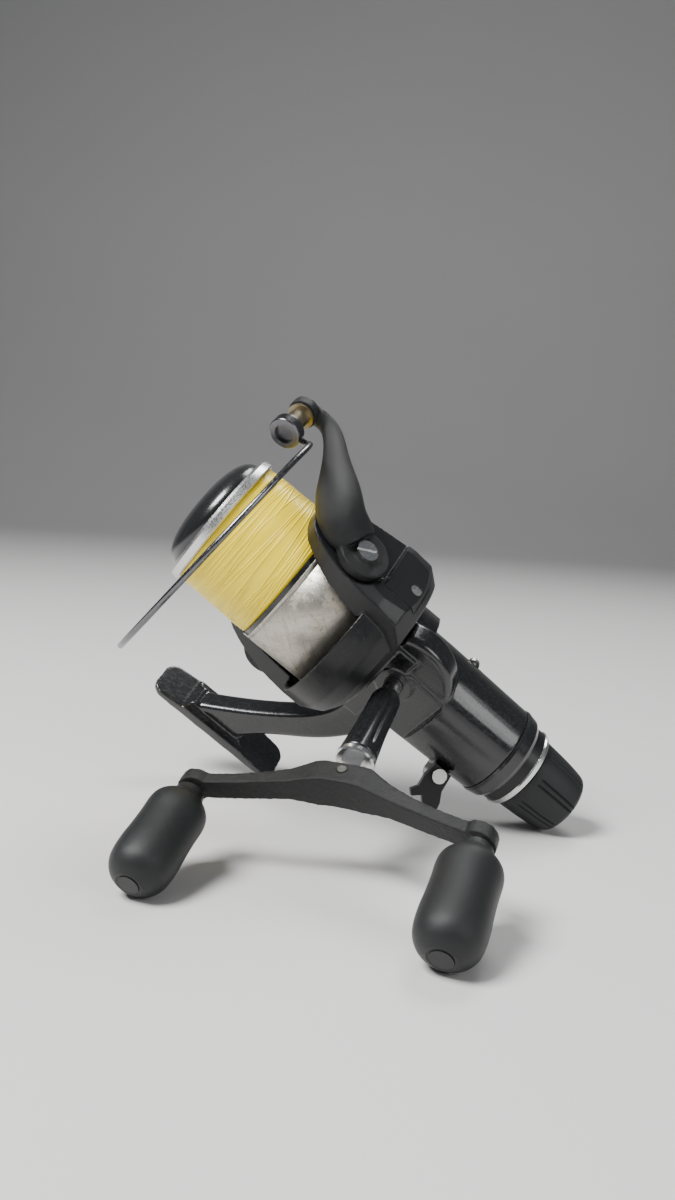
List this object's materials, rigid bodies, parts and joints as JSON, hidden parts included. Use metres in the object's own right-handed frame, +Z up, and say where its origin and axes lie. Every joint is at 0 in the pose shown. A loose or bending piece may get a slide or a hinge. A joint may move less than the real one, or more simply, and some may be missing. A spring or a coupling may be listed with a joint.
{
  "type": "spinning reel",
  "caption": "Rear-drag spinning reel with a wide spool of line, bail, long foot and a double handle, lying at rest on its handle knobs, drag knob and foot.",
  "frame": {"origin": "middle of the bottom of the whole reel's box, on the table it lies on", "axes": "+Z up off the table; +Y level, away from the handle side; +X level, towards the drag knob; the spool axis points up and towards -X"},
  "size_m": [0.1658, 0.1702, 0.1474],
  "materials": {
    "body_gloss": "gloss",
    "body_matte": "satin",
    "knob_rubber": "soft matte",
    "bright_steel": "polished",
    "brushed": "brushed",
    "silver_lip": "satin",
    "worn_foil": "worn",
    "brass": "worn",
    "dark_wire": "dark polished",
    "zinc": "cast",
    "yellow_line": "braided",
    "black_paint": "semi gloss",
    "felt": "matt"
  },
  "bodies": {
    "housing": {"gear_case": "body_gloss", "side_cover": "body_gloss", "cover_screws": "brushed", "bearing_cap": "body_matte", "crank_bearings": "brushed", "pinion_bearing": "brushed", "bearing_plate": "brushed", "guide_rod": "brushed", "rear_collar": "body_gloss", "seal_ring": "body_matte", "rear_ring": "bright_steel", "drag_washers": "felt", "drag_spring": "brushed", "pawl_pin": "brushed"},
    "crank": {"drive_gear": "zinc", "ratchet_wheel": "brushed", "crank_collar": "bright_steel", "handle_shank": "body_gloss", "shank_ring": "bright_steel", "fold_tongue": "bright_steel", "fold_pin": "bright_steel", "crossbar": "black_paint", "knob_spindles": "brushed"},
    "front_knob": {"knob_front": "knob_rubber", "plug_front": "body_matte"},
    "rear_knob": {"knob_rear": "knob_rubber", "plug_rear": "body_matte"},
    "rotor_unit": {"rotor": "body_matte", "arm_cover_near": "body_matte", "arm_cover_far": "body_matte", "cover_pins": "brushed", "rotor_nut": "brass", "pinion": "brass", "pivot_screws": "bright_steel", "bail_spring": "brushed"},
    "bail": {"bail_arm": "black_paint", "bail_holder": "black_paint", "bail_wire": "dark_wire", "roller_bush": "body_matte", "roller_cap": "dark_wire"},
    "roller": {"line_roller": "brass"},
    "worm": {"worm_shaft": "brushed", "worm_gear": "brass"},
    "carriage": {"slider": "zinc", "slider_pawl": "brass"},
    "spool_unit": {"main_shaft": "brushed", "shaft_clips": "brushed", "spool_pin": "brushed", "spool_washer": "felt", "spool": "body_gloss", "spool_rim": "silver_lip", "spool_band": "worn_foil", "spool_cap": "body_gloss", "spool_line": "yellow_line"},
    "drag_drum": {"drag_hub": "brass"},
    "drag_dial": {"drag_knob": "knob_rubber", "drag_nut": "brass"},
    "stop_switch": {"stop_lever": "body_matte", "lever_screw": "bright_steel"},
    "stop": {"stop_pawl": "brushed"}
  },
  "joints": [
    {"name": "crank_spin", "type": "hinge", "parent": "housing", "child": "crank", "pos_m": [0.01705, 0.02818, 0.05976], "axis": [0.3143, 0.8262, 0.4675], "continuous": true},
    {"name": "rotor_spin", "type": "hinge", "parent": "housing", "child": "rotor_unit", "pos_m": [0.01439, 0.03111, 0.05638], "axis": [-0.8, -0.0346, 0.599], "continuous": true},
    {"name": "worm_spin", "type": "hinge", "parent": "housing", "child": "worm", "pos_m": [0.01111, 0.03941, 0.05247], "axis": [-0.8, -0.0346, 0.599], "continuous": true},
    {"name": "spool_travel", "type": "slide", "parent": "housing", "child": "carriage", "axis": [-0.8, -0.0346, 0.599], "range_m": [0, 0.01]},
    {"name": "spool_spin", "type": "hinge", "parent": "carriage", "child": "spool_unit", "pos_m": [0.01439, 0.03111, 0.05638], "axis": [-0.8, -0.0346, 0.599], "continuous": true},
    {"name": "drag_drum_spin", "type": "hinge", "parent": "housing", "child": "drag_drum", "pos_m": [0.05039, 0.03266, 0.02942], "axis": [-0.8, -0.0346, 0.599], "continuous": true},
    {"name": "drag_dial_turn", "type": "hinge", "parent": "housing", "child": "drag_dial", "pos_m": [0.06239, 0.03318, 0.02044], "axis": [-0.8, -0.0346, 0.599], "range_deg": [-360, 360]},
    {"name": "stop_lever_turn", "type": "hinge", "parent": "housing", "child": "stop_switch", "pos_m": [0.03023, 0.02305, 0.02064], "axis": [0.1392, -0.9818, 0.1291], "range_deg": [0, 18]},
    {"name": "stop_pawl_turn", "type": "hinge", "parent": "housing", "child": "stop", "pos_m": [0.02686, 0.0221, 0.04679], "axis": [0.3143, 0.8262, 0.4675], "range_deg": [0, 26]},
    {"name": "bail_swing", "type": "hinge", "parent": "rotor_unit", "child": "bail", "pos_m": [-0.01713, 0.02685, 0.07663], "axis": [-0.4624, 0.6718, -0.5787], "range_deg": [0, 62]},
    {"name": "line_roller_spin", "type": "hinge", "parent": "bail", "child": "roller", "pos_m": [-0.02625, 0.01858, 0.13826], "axis": [-0.3824, -0.7399, -0.5534], "continuous": true},
    {"name": "front_knob_spin", "type": "hinge", "parent": "crank", "child": "front_knob", "pos_m": [-0.05456, -0.0349, 0.01512], "axis": [0.3143, 0.8262, 0.4675], "continuous": true},
    {"name": "rear_knob_spin", "type": "hinge", "parent": "crank", "child": "rear_knob", "pos_m": [0.02863, -0.06654, 0.01511], "axis": [0.3143, 0.8262, 0.4675], "continuous": true}
  ],
  "couplings": [
    {"joint": "rotor_spin", "follows": "crank_spin", "ratio": 4},
    {"joint": "worm_spin", "follows": "crank_spin", "ratio": -2.5},
    {"joint": "drag_drum_spin", "follows": "spool_spin", "ratio": 1},
    {"joint": "stop_pawl_turn", "follows": "stop_lever_turn", "ratio": 1.4444}
  ]
}
